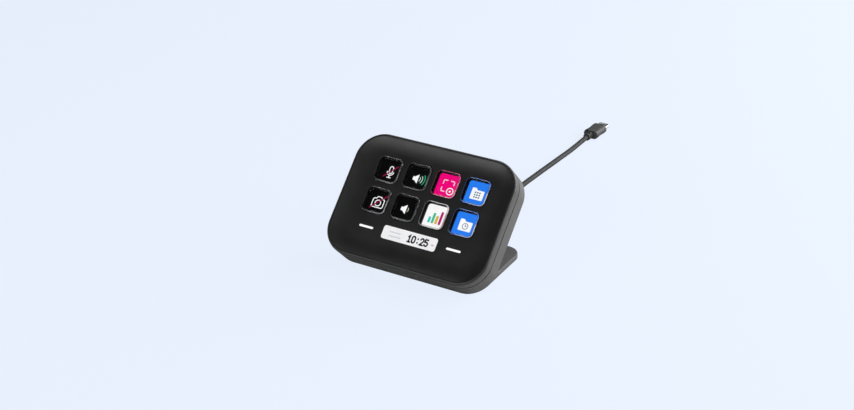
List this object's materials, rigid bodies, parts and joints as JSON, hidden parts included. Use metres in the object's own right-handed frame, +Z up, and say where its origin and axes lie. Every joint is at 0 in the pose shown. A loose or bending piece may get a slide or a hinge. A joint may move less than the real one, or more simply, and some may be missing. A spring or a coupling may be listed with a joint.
{
  "type": "display key keypad",
  "caption": "Desktop keypad with clear picture keys, an information bar and touch bars in a dished face, on a fixed easel foot with a captive cord and plug.",
  "frame": {"origin": "middle of the keypad's own footprint, on the surface that the foot's rubber pad rests on (the free cord, its coil and its plug are left out of the box)", "axes": "+X to the right of a user facing the keys, +Y away from the user, +Z up; the face tilts 45 degrees back about X"},
  "size_m": [0.107, 0.2661, 0.0666],
  "materials": {
    "face_plastic": "fine matte, charcoal",
    "rear_plastic": "fine matte, warm grey",
    "pad_rubber": "matte",
    "key_clear": "clear, polished",
    "guide_plastic": "matte, black",
    "mat_silicone": "matte silicone",
    "board_laminate": "solder-masked glass laminate",
    "display_glass": "gloss display glass",
    "carrier_plastic": "matte",
    "lens_clear": "clear, satin",
    "info_glass": "white lit display",
    "light_guide": "milky, lit white",
    "chip_resin": "matte moulding resin",
    "socket_plastic": "matte, cream",
    "flex_film": "satin amber film",
    "screw_steel": "zinc plated",
    "relief_rubber": "matte, charcoal",
    "wire_jacket": "satin",
    "cord_jacket": "matte, dark grey",
    "tie_plastic": "matte, black",
    "grip_plastic": "matte, charcoal",
    "plug_steel": "bright plated"
  },
  "bodies": {
    "housing": {"front_shell": "face_plastic", "rear_shell": "rear_plastic", "foot_pad": "pad_rubber", "key_guide": "guide_plastic", "key_mat": "mat_silicone", "contact_board": "board_laminate", "display_panel": "display_glass", "display_carrier": "carrier_plastic", "info_lens": "lens_clear", "info_display": "info_glass", "touch_bar_left": "light_guide", "touch_bar_right": "light_guide", "touch_board_left": "board_laminate", "touch_board_right": "board_laminate", "main_board": "board_laminate", "processor_chip": "chip_resin", "memory_chip": "chip_resin", "flex_sockets": "socket_plastic", "cord_socket": "socket_plastic", "panel_flex": "flex_film", "contact_flex": "flex_film", "info_flex": "flex_film", "carrier_screws": "screw_steel", "board_screws": "screw_steel", "case_screws": "screw_steel", "strain_relief": "relief_rubber", "lead_wires": "wire_jacket", "cord_lead": "cord_jacket", "cord_coil": "cord_jacket", "cord_run": "cord_jacket", "cable_tie": "tie_plastic", "plug_grip_body": "grip_plastic", "plug_shell": "plug_steel"},
    "key_1": {"key_1": "key_clear"},
    "key_2": {"key_2": "key_clear"},
    "key_3": {"key_3": "key_clear"},
    "key_4": {"key_4": "key_clear"},
    "key_5": {"key_5": "key_clear"},
    "key_6": {"key_6": "key_clear"},
    "key_7": {"key_7": "key_clear"},
    "key_8": {"key_8": "key_clear"}
  },
  "joints": [
    {"name": "key_1_press", "type": "slide", "parent": "housing", "child": "key_1", "axis": [0, 0.7071, -0.7071], "range_m": [0, 0.0014], "stiffness_N_per_m": 400, "springref_m": -0.0003},
    {"name": "key_2_press", "type": "slide", "parent": "housing", "child": "key_2", "axis": [0, 0.7071, -0.7071], "range_m": [0, 0.0014], "stiffness_N_per_m": 400, "springref_m": -0.0003},
    {"name": "key_3_press", "type": "slide", "parent": "housing", "child": "key_3", "axis": [0, 0.7071, -0.7071], "range_m": [0, 0.0014], "stiffness_N_per_m": 400, "springref_m": -0.0003},
    {"name": "key_4_press", "type": "slide", "parent": "housing", "child": "key_4", "axis": [0, 0.7071, -0.7071], "range_m": [0, 0.0014], "stiffness_N_per_m": 400, "springref_m": -0.0003},
    {"name": "key_5_press", "type": "slide", "parent": "housing", "child": "key_5", "axis": [0, 0.7071, -0.7071], "range_m": [0, 0.0014], "stiffness_N_per_m": 400, "springref_m": -0.0003},
    {"name": "key_6_press", "type": "slide", "parent": "housing", "child": "key_6", "axis": [0, 0.7071, -0.7071], "range_m": [0, 0.0014], "stiffness_N_per_m": 400, "springref_m": -0.0003},
    {"name": "key_7_press", "type": "slide", "parent": "housing", "child": "key_7", "axis": [0, 0.7071, -0.7071], "range_m": [0, 0.0014], "stiffness_N_per_m": 400, "springref_m": -0.0003},
    {"name": "key_8_press", "type": "slide", "parent": "housing", "child": "key_8", "axis": [0, 0.7071, -0.7071], "range_m": [0, 0.0014], "stiffness_N_per_m": 400, "springref_m": -0.0003}
  ]
}
